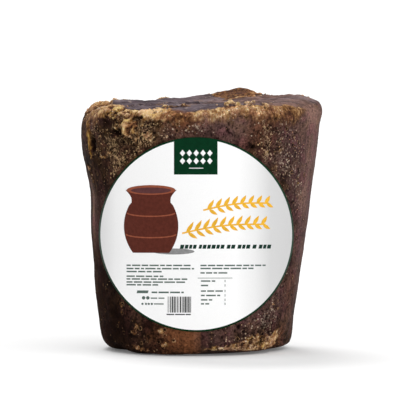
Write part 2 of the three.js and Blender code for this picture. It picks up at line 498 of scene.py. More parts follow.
# ---- the label's place on the wall ----
LABEL_RADIUS = 41.75
LABEL_MIDDLE = 41.55  # how far the label's middle lies under its top
LABEL_DROOP = 0.065  # the ends hang lower by this share of how far they lie behind the middle
PAPER_FACE = 0.34  # of the paper's face off the block's plain form
PAPER_THICKNESS = 0.14


def surface_of(grid):
    rings, columns = grid.shape[:2]
    corners = [Vector(p) for p in grid.reshape(-1, 3).tolist()]
    return BVHTree.FromPolygons(corners, ring_quads(rings, columns))


def ring_quads(rings, columns):
    ring, column = np.meshgrid(np.arange(rings - 1), np.arange(columns), indexing="ij")
    here, beside = ring * columns + column, ring * columns + (column + 1) % columns
    return np.stack([here, beside, beside + columns, here + columns], 2).reshape(-1, 4).tolist()


class LabelPlace:
    """Where the label lies: offsets from its middle, seen from the front, to points on the block's wall."""

    def __init__(self, grid):
        low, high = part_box("label")
        self.surface = surface_of(grid)
        self.x = (low.x + high.x) / 2 / MM
        self.z = high.z / MM - LABEL_MIDDLE
        self.middle_y = self.hit(self.x, self.z)[0].y

    def hit(self, x, z):
        return self.surface.ray_cast(Vector((x, -200.0, z)), Vector((0.0, 1.0, 0.0)))

    def point(self, across, up, lift):
        x, z = self.x + across, self.z + up
        drooped = z - LABEL_DROOP * (self.hit(x, z)[0].y - self.middle_y)
        place, outward = self.hit(x, drooped)[:2]
        return place + outward * lift

    def reach(self, points):
        """Distance from the label's middle, as seen from the front, of points on the wall."""
        level = points[:, 2] + LABEL_DROOP * (points[:, 1] - self.middle_y)
        reach = np.hypot(points[:, 0] - self.x, level - self.z)
        return np.where(points[:, 1] < 0, reach, 10 * LABEL_RADIUS)


# ---- relief of the block's skin ----
def rim_crust(angle, inward, wobble, fringe):
    """How far the rim's crust covers each point, and how lumpy and how bright it is there."""
    places, *columns = zip(*RIM_CRUST)
    down, reach, lumpy, bright = (np.interp(angle, places, values, period=360.0) for values in columns)
    fade = np.interp(angle, *zip(*RIM_FADE), period=360.0)
    rim = ease(-fade, fade, inward + down + 0.7 + 1.6 * wobble + 0.8 * fringe)
    rim *= ease(reach + 1.0, reach - 0.6, inward + 1.2 * wobble + 1.2 * fringe)
    rim *= ease(0.5, 2.0, down)
    return rim, lumpy, bright


def knob_height(flat, angle, inward, fringe):
    """Single lumps of crystals on and behind the rim."""
    knobs = np.zeros(len(flat))
    for at, deep, radius, tall in RIM_KNOBS:
        across = np.radians(turn_from(angle, at)) * np.hypot(flat[:, 0], flat[:, 1])
        away = np.hypot(across, inward - deep)
        knobs = np.maximum(knobs, tall * ease(radius, 0.3 * radius, away + 0.3 * radius * fringe))
    return knobs


def tongue_share(flat, up, wobble, fringe):
    """Where the curled tongue of crust lies on the top."""
    x, y, half_width, half_length = TONGUE
    away = np.hypot((flat[:, 0] - x) / half_width, (flat[:, 1] - y) / half_length)
    return ease(1.15, 0.85, away + 0.45 * wobble + 0.15 * fringe) * ease(0.0, 0.5, up)


def foam_share(angle, height, wobble, fringe, ragged):
    """Foam that set in lines on the wall."""
    foam = np.zeros(len(angle))
    for half_width, amount, path in FOAM_TRAILS:
        away = path_distance(angle, height, path) + 1.0 * fringe + 0.6 * wobble
        foam = np.maximum(foam, amount * bell(away, half_width) * (0.8 + 0.8 * ragged))
    return foam


def block_fields(grid, normal, label_place):
    """Named fields over the block's skin: crusted, honeycombed, smooth, tinted, painted shade and painted
    sheen, and so on.
    """
    flat = grid.reshape(-1, 3)
    angle = np.degrees(np.arctan2(flat[:, 1], flat[:, 0])) % 360.0
    height = flat[:, 2]
    up = normal.reshape(-1, 3)[:, 2]
    inward = rim_distance(grid).reshape(-1)
    wobble = cloud(flat, 9.0, 3, 4.0)
    fringe = cloud(flat, 3.0, 2, 9.0)
    stray = 0.35 * fringe + 0.3 * wobble

    def spread(places, loose=0.5):
        return np.clip(patches(angle, height, places) * (1 + loose * wobble) + 0.3 * loose * stray, 0, 1)

    rim, lumpy, bright = rim_crust(angle, inward, wobble, fringe)
    knobs = knob_height(flat, angle, inward, fringe)
    tongue = tongue_share(flat, up, wobble, fringe)
    rim = np.maximum(np.maximum(rim, np.clip(1.3 * knobs, 0, 1)), ease(0.2, 0.5, tongue))
    on_wall = ease(0.75, 0.4, up) * ease(-0.97, -0.8, up)
    ragged = cloud(flat, 1.6, 2, 50.0)
    strand = 1.0 - 2.6 * np.abs(cloud(flat, 6.5, 2, 61.0))
    patch = patches(angle, height, CRUST_PLACES) * (0.85 + 0.35 * strand) + stray + 0.35 * ragged
    patch = ease(0.35, 0.85, patch) * on_wall
    foam = foam_share(angle, height, wobble, fringe, ragged)
    lip = ring_height(angle, height) * (0.75 + 0.5 * fringe)
    bare = patches(angle, height, BARE_PLACES)
    rim *= 1 - ease(0.25, 0.6, bare + 0.3 * fringe) * ease(0.8, 0.5, up)
    crust = np.maximum(np.maximum(rim, patch), ease(0.3, 0.8, np.maximum(0.8 * foam, lip)))
    low_down = ease(-9.0, -14.0, inward)
    lumpy = np.maximum(lumpy * (1 - low_down), np.maximum(0.85 * patch, foam) * low_down)
    lumpy = np.maximum(lumpy, np.clip(knobs, 0, 1)) * (1 - tongue)
    lumpy *= 1 - np.clip(patches(angle, height, CALM_PLACES), 0, 1)
    bright -= 0.45 * (1 - lumpy) * ease(1.0, -8.0, inward)
    bright += (0.5 - bright) * low_down
    bright += patches(angle, height, BRIGHT_PLACES) + 0.1 * np.clip(knobs, 0, 1) + 0.3 * lip
    at, reach, amount = DULL_LUMPS
    bright -= amount * ease(3.5, 5.5, inward) * bell(turn_from(angle, at), reach)
    bright = bright * (1 - tongue) + (-0.10 + 0.45 * ease(18.0, 24.0, flat[:, 0])) * tongue
    top = ease(0.6, 0.9, up) * (1 - rim)
    red = spread(RED_PLACES) * (1 - ease(0.0, 4.0, inward))
    start, end, above = RED_GAP
    red *= 1 - ease(*start, angle) * ease(*end, angle) * ease(*above, height)
    comb = spread(COMB_PLACES)
    return {
        "points": flat, "angle": angle, "height": height, "up": up, "inward": inward, "ragged": ragged,
        "crust": crust, "lumpy": lumpy, "bright": bright, "tongue": tongue, "top": top, "knobs": knobs,
        "raised": 1.1 * lip + 0.3 * foam, "low down": low_down,
        "comb": (ease(-0.1, 0.5, comb) * comb + 0.8 * foam) * on_wall,
        "grain": crust * (0.05 + 0.95 * lumpy) * (1 - tongue),
        "smooth": spread(SMOOTH_PLACES) * on_wall * (1 - crust),
        "olive": spread(OLIVE_PLACES), "mauve": spread(MAUVE_PLACES), "ochre": spread(OCHRE_PLACES),
        "red": red, "painted_shade": spread(PAINTED_SHADE_PLACES), "pale": spread(PALE_AND_SHEEN_PLACES, 0.3),
        "crumbs": spread(CRUMB_PLACES, 0.8) * ease(0.4, 0.75, up) * ease(9.0, 5.0, inward) * (1 - tongue),
        "label": ease(LABEL_RADIUS + 2.2, LABEL_RADIUS + 0.4, label_place.reach(flat)),
    }


def wall_relief(f):
    points = f["points"]
    rough = 1 - 0.85 * f["smooth"]
    lumps = 0.35 * cloud(points, 16.0, 3, 1.0) + patches(f["angle"], f["height"], SWELLS)
    tall = points * np.array([1.0, 1.0, 0.07])
    streaks = 0.10 * cloud(tall, 1.9, 2, 3.0)
    grain = 0.14 * cloud(points, 2.2, 3, 6.0) * rough
    near, next_near = cells(points + 0.5 * cloud(points, 2.4, 2, 18.0)[:, None], 2.9, 7.0)
    comb = 0.42 * f["comb"] * (ease(0.36, 0.04, next_near - near) - 0.4)
    return lumps + streaks + grain + comb


def crust_relief(f):
    """Fused lumps of crystals with creases between them, or a low grain where the crust is smooth."""
    points = f["points"]
    bent = points + 1.0 * cloud(points, 4.0, 2, 8.0)[:, None]
    near, _ = cells(bent, 3.9)
    small_near, _ = cells(bent, 2.0, 30.0)
    boulders = 0.9 * (1 - (near / 0.7) ** 2) + 0.6 * (1 - (small_near / 0.7) ** 2) - 0.7
    grain = 0.22 * cloud(points, 2.0, 3, 12.0)
    heaped = 0.25 + grain + f["lumpy"] * np.maximum(boulders, -0.8) * (1 - 0.3 * f["low down"])
    return f["crust"] * heaped * (1 - f["tongue"]) + f["knobs"] + f["raised"]


def top_relief(f):
    """The wrinkled skin that set on top: folds across the block, with finer wrinkles between them."""
    points = f["points"]
    turn = math.radians(32.0)
    along = points[:, 0] * math.cos(turn) + points[:, 1] * math.sin(turn)
    across = -points[:, 0] * math.sin(turn) + points[:, 1] * math.cos(turn)
    bent = np.stack([along / 3.2, across + 2.5 * cloud(points, 17.0, 2, 15.0), 0 * along], 1)
    folds = 1.0 - 2.2 * np.abs(cloud(bent, 7.0, 2, 18.0))
    wrinkles = 1.0 - 2.2 * np.abs(cloud(bent, 2.4, 2, 21.0))
    calm = ease(-0.15, 0.45, cloud(points, 22.0, 2, 27.0))
    tongue = f["tongue"]
    skin = f["top"] * (0.75 * folds + 0.28 * wrinkles * (1 - 0.7 * calm) - 0.4)
    return skin * (1 - tongue) + (0.8 + 0.15 * cloud(points, 4.0, 2, 44.0)) * tongue


def pit_depth(f):
    """Hollows left by bubbles: the large named ones, and small ones strewn over the wall."""
    points, angle, height = f["points"], f["angle"], f["height"]
    depth = np.zeros(len(points))
    for at, level, radius, deep in PITS:
        wide = np.radians(turn_from(angle, at)) * np.hypot(points[:, 0], points[:, 1])
        away = np.hypot(wide, height - level) + 0.25 * radius * f["ragged"]
        depth = np.maximum(depth, deep * ease(radius, 0.35 * radius, away))
    near, _ = cells(points, 4.6, 40.0)
    chance = ease(0.0, 0.4, cloud(points, 6.0, 2, 33.0) + 0.4 * f["comb"])
    strewn = 0.7 * chance * ease(0.2, 0.08, near) * (1 - 0.8 * f["smooth"]) * (1 - f["top"])
    return np.maximum(depth, strewn)


def foot_gap(f):
    """How far the foot's chipped edge stays off the floor."""
    broken = np.max([bell(turn_from(f["angle"], at), spread) for at, spread in FOOT_BREAKS], 0)
    gap = (0.2 + 1.4 * broken) * np.maximum(0.0, f["ragged"] - 0.05)
    for at, spread, lift in FOOT_LIFTS:
        gap += lift * bell(turn_from(f["angle"], at), spread)
    out = np.hypot(f["points"][:, 0], f["points"][:, 1])
    return gap * ease(5.0, 0.5, f["height"]) * ease(32.0, 36.0, out)


def foot_corner(f):
    """How far the foot's edge stands out of its rounding, where it broke off square."""
    height = np.clip(f["height"], 0.0, EDGE_ROUNDING)
    square = np.zeros(len(height))
    for at, spread, amount in FOOT_CORNERS:
        square = np.maximum(square, amount * bell(turn_from(f["angle"], at), spread))

    def inset(rounding):
        return rounding - np.sqrt(rounding ** 2 - np.clip(rounding - height, 0.0, rounding) ** 2)

    out = np.hypot(f["points"][:, 0], f["points"][:, 1])
    return square * (inset(EDGE_ROUNDING) - inset(CORNER_ROUNDING)) * ease(34.0, 35.5, out)


def far_rim_rise(f):
    """What the far rim's own ups and downs add to the height of the top."""
    x, y = f["points"][:, 0], f["points"][:, 1]
    near_rim = ease(16.0, 7.0, f["inward"]) * ease(8.0, 18.0, y) * ease(0.0, 0.5, f["up"])
    return np.interp(x, *zip(*FAR_RIM)) * near_rim


def block_skin(grid, label_place):
    normal = ring_normals(grid)
    f = block_fields(grid, normal, label_place)
    pits = pit_depth(f)
    relief = wall_relief(f) * (1 - 0.9 * f["top"]) + crust_relief(f) + top_relief(f)
    held = np.minimum(relief, 0.1)  # nothing pokes through the paper
    relief = relief * (1 - f["label"]) + held * f["label"]
    pits = pits * (1 - f["label"])
    foot = ease(-0.55, -0.95, f["up"])
    chips = np.maximum(0.0, f["ragged"]) * ease(5.0, 0.5, f["height"]) * CHIP_DEPTH * (1 - foot)
    moved = (relief * (1 - foot) - pits - chips)[:, None] * normal.reshape(-1, 3)
    points = f["points"] + moved
    level = points[:, :2] / np.hypot(points[:, 0], points[:, 1])[:, None]
    points[:, :2] += level * foot_corner(f)[:, None]
    points[:, 2] = np.maximum(points[:, 2], 0.0) + foot_gap(f) + far_rim_rise(f)
    fields = {name: f[name] * (1 - f["label"]) for name in ("crust", "grain", "comb", "crumbs")}
    fields.update({name: f[name] for name in (
        "lumpy", "bright", "smooth", "olive", "ochre", "mauve", "red", "painted_shade", "pale")})
    fields["skin"] = f["top"]
    # painted shade: the pits are coloured near-black in the finish
    fields["pit_shade"] = np.clip(pits / 0.6, 0, 1)
    # painted shade and highlight: the crust's colour is darker in its creases and lighter on its ridges, by
    # this field
    fields["relief_shade"] = np.clip(0.5 + above_round(relief.reshape(grid.shape[:2])) / 1.2, 0, 1).reshape(-1)
    return points.reshape(grid.shape), fields


def above_round(relief):
    """How far each point stands above the points round it, so that the crust can be painted darker in its
    creases and lighter on its ridges: painted shade and painted highlight.
    """
    level = relief
    for _ in range(8):
        level = (np.roll(level, 1, 1) + 2 * level + np.roll(level, -1, 1)) / 4
        level[1:-1] = (level[:-2] + 2 * level[1:-1] + level[2:]) / 4
    return relief - level


# ---- meshes ----
def mesh_object(name, corners, faces, smooth=True):
    """A piece at the origin from corners in millimetres."""
    mesh = bpy.data.meshes.new(name)
    mesh.from_pydata((np.asarray(corners, float) * MM).tolist(), [], faces)
    if smooth:
        mesh.shade_smooth()
    mesh.update()
    piece = bpy.data.objects.new(name, mesh)
    bpy.context.scene.collection.objects.link(piece)
    return piece


def make_block(form, label_place):
    grid, fields = block_skin(form, label_place)
    rings, columns = grid.shape[:2]
    foot_middle = [*grid[0, :, :2].mean(0), 0.0]
    top_middle = grid[-1].mean(0)
    corners = np.concatenate([grid.reshape(-1, 3), [foot_middle], [top_middle]])
    quads = ring_quads(rings, columns)
    foot_pole, top_pole = rings * columns, rings * columns + 1
    last = (rings - 1) * columns
    fans = [(foot_pole, (c + 1) % columns, c) for c in range(columns)]
    fans += [(top_pole, last + c, last + (c + 1) % columns) for c in range(columns)]
    piece = mesh_object("jaggery", corners, quads + fans)
    for name, values in fields.items():
        attribute = piece.data.attributes.new(name, "FLOAT", "POINT")
        rows = values.reshape(rings, columns)
        padded = np.concatenate([values, [rows[0].mean(), rows[-1].mean()]])
        attribute.data.foreach_set("value", padded.astype(np.float32))
    return piece


# ---- the label: paper, and ink laid on it in thin slabs ----
PAPER_RINGS = 40
PAPER_SPOKES = 160
EDGE_INK = 0.75  # width of the green line round the paper
INK_STEP = 1.6  # longest straight step of an ink shape round the wall
INK_SINK = 0.02
INK_LAYER = 0.02
RING_CROWDING = 5.5  # the smaller, the closer together the paper's outer rings
TAB_SIDES = (-9.45, 9.06)
TAB_FOOT = 25.8
LOZENGE_LEVELS = (35.0, 31.6)
LOZENGE_STEP = 2.9
SPRIGS = (  # start, end, rise, leaves, length of a leaf
    ((3.0, 10.5), (31.0, 13.5), 1.2, 8, 5.0),
    ((-6.0, 0.6), (29.5, 4.4), 1.4, 10, 5.6),
)
POT_MIDDLE = -19.2
POT_FOOT = -7.8
POT_HEIGHT = 27.0
POT_BANDS = (0.30, 0.64)  # of the pot's height
PRINT_SEED = 5
PRINT_HEIGHT = 0.62
LEFT_LINES = (  # level and right end of each line of small print
    (-13.2, -1.9), (-14.6, -0.9), (-15.9, -13.5), (-17.9, -14.0), (-19.1, -3.8), (-20.4, -4.1),
    (-21.6, -16.2),
)
RIGHT_LINES = ((-13.2, 29.6), (-14.5, 24.4), (-16.4, 13.2))
LIST_LINES = ((-19.9, 8.1), (-21.8, 5.5), (-24.2, 12.4), (-26.1, 10.2), (-28.0, 7.0), (-29.7, 5.5))
NOTE_LINES = (  # left and right end, level and height
    (-19.0, -5.3, -24.8, 0.7), (-19.4, -13.5, -27.3, 0.5), (-18.0, -12.9, -29.8, 0.5),
)


def make_paper(label_place):
    wrap = math.asin(LABEL_RADIUS / (LABEL_RADIUS + RING_CROWDING))
    share = np.sin(wrap * np.arange(1, PAPER_RINGS) / PAPER_RINGS) / math.sin(wrap)
    radii = np.concatenate([share * (LABEL_RADIUS - EDGE_INK), [LABEL_RADIUS - EDGE_INK, LABEL_RADIUS]])
    turn = np.arange(PAPER_SPOKES) * 2 * math.pi / PAPER_SPOKES
    flat = [(0.0, 0.0)] + [(r * math.cos(t), r * math.sin(t)) for r in radii for t in turn]
    outer = [label_place.point(x, z, PAPER_FACE) for x, z in flat]
    inner = [label_place.point(x, z, PAPER_FACE - PAPER_THICKNESS) for x, z in flat]
    rings = len(radii)
    quads = [tuple(1 + i for i in quad) for quad in ring_quads(rings, PAPER_SPOKES)]
    fan = [(0, 1 + i, 1 + (i + 1) % PAPER_SPOKES) for i in range(PAPER_SPOKES)]
    front = quads + fan
    back = [tuple(len(flat) + i for i in reversed(face)) for face in front]
    rim = 1 + (rings - 1) * PAPER_SPOKES
    edge = []
    for i in range(PAPER_SPOKES):
        here, beside = rim + i, rim + (i + 1) % PAPER_SPOKES
        edge.append((beside, here, here + len(flat), beside + len(flat)))
    paper = mesh_object("label_paper", outer + inner, front + back + edge)
    face_outward(paper)
    uv = paper.data.uv_layers.new(name="face")
    flat_twice = flat + flat
    for loop in paper.data.loops:
        x, z = flat_twice[loop.vertex_index]
        uv.data[loop.index].uv = (0.5 + 0.5 * x / LABEL_RADIUS, 0.5 + 0.5 * z / LABEL_RADIUS)
    inked = LABEL_RADIUS - 0.6 * EDGE_INK
    for face in paper.data.polygons:
        reach = np.mean([math.hypot(*flat_twice[i]) for i in face.vertices])
        face.material_index = 1 if reach > inked else 0
    return paper


def face_outward(piece):
    tree = bmesh.new()
    tree.from_mesh(piece.data)
    bmesh.ops.recalc_face_normals(tree, faces=tree.faces)
    tree.to_mesh(piece.data)
    tree.free()


class Ink:
    """Collects the shapes of one printed colour; each is a thin closed slab on the paper's face."""

    def __init__(self, label_place, layer=0):
        self.place = label_place
        self.low = PAPER_FACE - INK_SINK
        self.high = PAPER_FACE + INK_LAYER * (layer + 1)
        self.corners = []
        self.faces = []

    def slab(self, rows):
        """rows: two or more equally long rows of (across, up) points."""
        start, count, length = len(self.corners), len(rows), len(rows[0])
        size = count * length
        for lift in (self.high, self.low):
            self.corners += [self.place.point(x, z, lift) for row in rows for x, z in row]
        for i in range(count - 1):
            for j in range(length - 1):
                a = start + i * length + j
                b, c, d = a + 1, a + 1 + length, a + length
                self.faces += [(a, b, c, d), (d + size, c + size, b + size, a + size)]
        border = [(0, j) for j in range(length)] + [(i, length - 1) for i in range(1, count)]
        border += [(count - 1, j) for j in range(length - 2, -1, -1)]
        border += [(i, 0) for i in range(count - 2, 0, -1)]
        ids = [start + i * length + j for i, j in border]
        for a, b in zip(ids, ids[1:] + ids[:1]):
            self.faces.append((b, a, a + size, b + size))

    def bar(self, left, right, low, high, slant=0.0):
        steps = max(1, math.ceil((right - left) / INK_STEP))
        xs = np.linspace(left, right, steps + 1)
        self.slab([[(x, low) for x in xs], [(x + slant, high) for x in xs]])

    def outline(self, levels, edges):
        """A shape from its left and right edge at each level."""
        rows = []
        widest = max(right - left for left, right in edges)
        steps = max(2, math.ceil(widest / INK_STEP))
        for level, (left, right) in zip(levels, edges):
            rows.append([(x, level) for x in np.linspace(left, right, steps + 1)])
        self.slab(rows)

    def disc(self, across, up, wide, high=None, steps=14):
        high = wide if high is None else high
        turn = np.linspace(-0.48 * math.pi, 0.48 * math.pi, steps)
        self.outline(up + high * np.sin(turn),
                     [(across - wide * c, across + wide * c) for c in np.cos(turn)])

    def stroke(self, path, widths):
        """A line of changing width along a path."""
        path = np.asarray(path, float)
        heading = np.gradient(path, axis=0)
        heading /= np.linalg.norm(heading, axis=1, keepdims=True)
        side = np.stack([-heading[:, 1], heading[:, 0]], 1) * (np.asarray(widths)[:, None] / 2)
        self.slab([(path - side).tolist(), (path + side).tolist()])

    def words(self, left, right, level, height, chance, gap=0.55):
        """A line of small print, as word-long dashes."""
        x = left
        while x < right - 0.8:
            end = min(right, x + chance.uniform(1.3, 4.6))
            self.bar(x, end, level - height / 2, level + height / 2)
            x = end + gap

    def piece(self, name, material):
        piece = mesh_object(name, self.corners, self.faces, smooth=False)
        face_outward(piece)
        piece.data.materials.append(material)
        return piece


def leaf(ink, x, z, length, heading, width):
    """A slender leaf from its base at (x, z)."""
    share = np.linspace(0, 1, 9)
    turn = math.radians(heading) + math.radians(16) * (share - 0.3)
    step = length / 8
    path = [(x, z)]
    for angle in turn[1:]:
        path.append((path[-1][0] + step * math.cos(angle), path[-1][1] + step * math.sin(angle)))
    ink.stroke(path, 0.12 + width * np.sin(math.pi * share ** 0.8))


def sprig(ink, start, end, rise, leaves, length):
    """A bowed stem with leaves in pairs along it."""
    share = np.linspace(0, 1, 24)
    (x0, z0), (x1, z1) = start, end
    stem = np.stack([x0 + (x1 - x0) * share, z0 + (z1 - z0) * share + rise * np.sin(math.pi * share)], 1)
    ink.stroke(stem, np.full(24, 0.7))
    for k in range(leaves):
        at = (k + 0.5) / leaves
        x, z = (np.interp(at, share, stem[:, i]) for i in (0, 1))
        leaf(ink, x, z, length * (1 - 0.25 * at), 52, 1.5)
        leaf(ink, x + 0.8, z, 0.85 * length * (1 - 0.25 * at), -38, 1.4)


def lozenges(ink):
    """Two rows of five small lozenges over a thin rule, on the green tab."""
    for level in LOZENGE_LEVELS:
        for k in range(-2, 3):
            x = k * LOZENGE_STEP
            tip, waist = (x - 0.06, x + 0.06), (x - 1.15, x + 1.15)
            ink.outline([level - 1.35, level, level + 1.35], [tip, waist, tip])
    ink.bar(-3.0, 3.0, 28.4, 28.7)


def pot_edges(levels):
    """Half width of a round-bellied clay pot at levels from 0, its foot, to 1, its lip."""
    belly = 11.6 * np.sin(np.clip(0.16 + 0.80 * levels, 0, 1) * math.pi) ** 0.55
    neck = 8.3 + 2.6 * np.clip((levels - 0.86) / 0.14, 0, 1) ** 1.5
    return np.where(levels < 0.80, np.maximum(belly, 5.0), neck)


def print_tab(label_place):
    """The green tab, whose upper edge follows the paper's, and the lozenges on it."""
    green, white = Ink(label_place), Ink(label_place, 1)
    across = np.linspace(*TAB_SIDES, 14)
    rim = np.sqrt((LABEL_RADIUS - 0.5 * EDGE_INK) ** 2 - across ** 2)
    green.slab([[(x, TAB_FOOT + share * (high - TAB_FOOT)) for x, high in zip(across, rim)]
                for share in np.linspace(0, 1, 5)])
    lozenges(white)
    return green, white


def print_sprigs(label_place):
    gold = Ink(label_place)
    for shape in SPRIGS:
        sprig(gold, *shape)
    return gold


def print_pot(label_place):
    """A clay pot in four inks: its shadow, its body, its glazed lip and bands, and its mouth."""
    shadow, pot, glaze, mouth = (Ink(label_place, layer) for layer in range(4))
    middle, foot, tall = POT_MIDDLE, POT_FOOT, POT_HEIGHT
    shadow.disc(middle + 9.5, foot + 0.6, 9.0, 1.3)
    steps = np.linspace(0, 1, 26)
    half = pot_edges(steps)
    pot.outline(foot + tall * steps, [(middle - h, middle + h) for h in half])
    glaze.disc(middle, foot + tall, 10.4, 2.1)
    mouth.disc(middle, foot + tall - 0.2, 8.6, 1.3)
    for level in POT_BANDS:
        band = half[int(level * (len(half) - 1))] - 0.4
        glaze.stroke([(middle + band * math.sin(a), foot + tall * level - 1.6 * math.cos(a))
                      for a in np.linspace(-1.45, 1.45, 16)], np.full(16, 0.55))
    return shadow, pot, glaze, mouth


def print_dashes(label_place, chance):
    """A slanting row of short dashes."""
    dark = Ink(label_place)
    x = -7.0
    while x < 32.0:
        end = min(32.4, x + chance.uniform(1.2, 1.7))
        dark.bar(x, end, -6.0, -4.3, slant=0.4)
        x = end + (1.1 if chance.random() < 0.14 else 0.4)
    return dark


def print_small(label_place, chance):
    """Word-long dashes in two columns and a list, with a few dots and a mark below them."""
    small = Ink(label_place)
    for level, right in LEFT_LINES:
        small.words(-29.7, right, level, PRINT_HEIGHT, chance)
    for level, right in RIGHT_LINES:
        small.words(1.8, right, level, PRINT_HEIGHT, chance)
    small.bar(0.6, 15.4, -18.75, -18.5)
    for level, right in LIST_LINES:
        small.words(2.0, right, level, PRINT_HEIGHT, chance)
        small.bar(12.1, 12.4, level - 0.5, level + 0.5)
    for line in NOTE_LINES:
        small.words(*line, chance)
    for x in (-22.9, -21.4, -20.2, -18.9):
        small.disc(x, -29.8, 0.48, steps=8)
    for x in (-22.4, -20.6):
        small.disc(x, -27.2, 0.75, steps=8)
    small.bar(-25.4, -20.6, -25.2, -24.0, slant=0.3)
    return small


def print_bars(label_place, chance):
    """A block of plain upright bars that says nothing."""
    bars = Ink(label_place)
    x = -12.1
    while x < -2.4:
        wide = chance.choice((0.18, 0.3, 0.45, 0.7))
        bars.bar(x, min(-2.2, x + wide), -33.5, -26.6)
        x += wide + chance.choice((0.16, 0.26, 0.4))
    bars.words(-12.6, -2.3, -34.3, 0.55, chance, gap=0.3)
    return bars


def make_print(label_place):
    chance = np.random.default_rng(PRINT_SEED)
    green, white = print_tab(label_place)
    gold = print_sprigs(label_place)
    shadow, pot, glaze, mouth = print_pot(label_place)
    dark, small, bars = (draw(label_place, chance) for draw in (print_dashes, print_small, print_bars))
    inks = ((green, "green_tab", "deep green ink"), (white, "white_lozenges", "white ink"),
            (gold, "gold_sprigs", "golden ink"), (shadow, "pot_shadow", "grey ink"),
            (pot, "printed_pot", "clay red ink"), (glaze, "pot_bands", "clay orange ink"),
            (mouth, "pot_mouth", "clay dark ink"), (dark, "dark_dashes", "green black ink"),
            (small, "small_print", "soft green black ink"), (bars, "bar_block", "grey black ink"))
    return [ink.piece(name, make_ink_material(kind)) for ink, name, kind in inks]


# ---- finishes ----
SUGAR = {
    "night": (0.0065, 0.0026, 0.0018),
    "dark": (0.014, 0.0062, 0.0048),
    "brown": (0.050, 0.024, 0.016),
    "mauve": (0.098, 0.052, 0.047),
    "rose": (0.205, 0.115, 0.090),
    "olive": (0.070, 0.036, 0.018),
    "red": (0.150, 0.055, 0.023),
    "red brown": (0.060, 0.024, 0.013),
    "crease": (0.052, 0.023, 0.013),
    "chestnut": (0.170, 0.088, 0.045),
    "amber": (0.20, 0.084, 0.032),
    "tan": (0.37, 0.208, 0.102),
    "pale tan": (0.71, 0.49, 0.25),
    "honey": (0.31, 0.138, 0.040),
    "gold": (0.41, 0.205, 0.082),
    "cream": (0.74, 0.485, 0.225),
    # the colour of a painted highlight
    "glint": (0.88, 0.76, 0.57),
    "bone": (0.60, 0.47, 0.37),
    "slate": (0.090, 0.066, 0.075),
    "pale slate": (0.26, 0.22, 0.235),
}
WASHES = {  # times the colour under them
    "plum": (1.05, 0.90, 1.01),
    "moss": (0.98, 1.00, 0.76),
    "straw": (1.00, 1.01, 0.74),
    "blush": (1.02, 0.95, 1.10),
    "ashen": (0.84, 0.96, 1.22),
    "ochre": (0.86, 0.92, 0.52),
}


class Tree:
    """Short calls that every tree of nodes here is built with."""

    def __init__(self, tree):
        self.tree = tree

    def put(self, socket, value):
        if isinstance(value, bpy.types.NodeSocket):
            self.tree.links.new(value, socket)
        elif isinstance(value, tuple) and socket.type == "RGBA":
            socket.default_value = (*value, 1.0)
        else:
            socket.default_value = value

    def node(self, kind, inputs, **settings):
        node = self.tree.nodes.new(kind)
        for name, value in settings.items():
            setattr(node, name, value)
        for key, value in inputs.items():
            self.put(node.inputs[key], value)
        return node

    def calc(self, kind, first, second):
        return self.node("ShaderNodeMath", {0: first, 1: second}, operation=kind).outputs[0]


class Nodes(Tree):
    """Short calls for the nodes of a finish. Sizes are in millimetres."""

    def __init__(self, tree, place):
        super().__init__(tree)
        self.place = place

    def field(self, name):
        return self.node("ShaderNodeAttribute", {}, attribute_name=name).outputs["Fac"]

    def stretch(self, factors):
        return self.node("ShaderNodeMapping", {"Vector": self.place, "Scale": factors}).outputs["Vector"]

    def cloud(self, size, detail=3.0, roughness=0.55, where=None, warp=0.0):
        return self.node("ShaderNodeTexNoise", {
            "Vector": where or self.place, "Scale": 1000.0 / size, "Detail": detail, "Roughness": roughness,
            "Distortion": warp}).outputs["Fac"]

    def cells(self, size):
        """Distance from the nearest of scattered points, and two random numbers that each point has."""
        node = self.node("ShaderNodeTexVoronoi", {"Vector": self.place, "Scale": 1000.0 / size})
        split = self.node("ShaderNodeSeparateColor", {"Color": node.outputs["Color"]})
        return node.outputs["Distance"], split.outputs["Red"], split.outputs["Green"]

    def ease(self, value, start, end, low=0.0, high=1.0):
        return self.node("ShaderNodeMapRange", {
            "Value": value, "From Min": start, "From Max": end, "To Min": low, "To Max": high},
            interpolation_type="SMOOTHSTEP").outputs["Result"]

    def off(self, value, middle):
        """How far a value lies from another, up or down."""
        return self.calc("ABSOLUTE", self.calc("SUBTRACT", value, middle), 0.0)

    def times(self, *values):
        total = values[0]
        for value in values[1:]:
            total = self.calc("MULTIPLY", total, value)
        return total

    def mix(self, share, first, second, kind="MIX"):
        return self.node("ShaderNodeMix", {0: share, 6: first, 7: second}, data_type="RGBA",
                         blend_type=kind, clamp_factor=True).outputs[2]

    def wash(self, share, colour, name):
        return self.mix(share, colour, WASHES[name], "MULTIPLY")

    def shade(self, colour, amount):
        """The colour times a number that changes over the surface."""
        return self.node("ShaderNodeVectorMath", {0: colour, "Scale": amount}, operation="SCALE").outputs[0]

    def ramp(self, value, stops):
        node = self.node("ShaderNodeValToRGB", {"Fac": value})
        elements = node.color_ramp.elements
        while len(elements) < len(stops):
            elements.new(0.5)
        for element, (place, colour) in zip(elements, stops):
            element.position = place
            element.color = (*colour, 1.0)
        return node.outputs["Color"]

    def bump(self, height, deep, below=None):
        node = self.node("ShaderNodeBump", {"Height": height, "Distance": deep * MM, "Strength": 1.0})
        if below is not None:
            self.put(node.inputs["Normal"], below)
        return node.outputs["Normal"]


class Effect(Nodes):
    """A group of nodes that several finishes share: numbers over the surface go in, a colour comes out."""

    def __init__(self, name, numbers):
        tree = bpy.data.node_groups.new(name, "ShaderNodeTree")
        face = tree.interface
        face.new_socket("Place", in_out="INPUT", socket_type="NodeSocketVector")
        for number in numbers:
            face.new_socket(number, in_out="INPUT", socket_type="NodeSocketFloat")
        face.new_socket("Colour", in_out="OUTPUT", socket_type="NodeSocketColor")
        self.given = tree.nodes.new("NodeGroupInput").outputs
        self.out = tree.nodes.new("NodeGroupOutput").inputs["Colour"]
        super().__init__(tree, self.given["Place"])


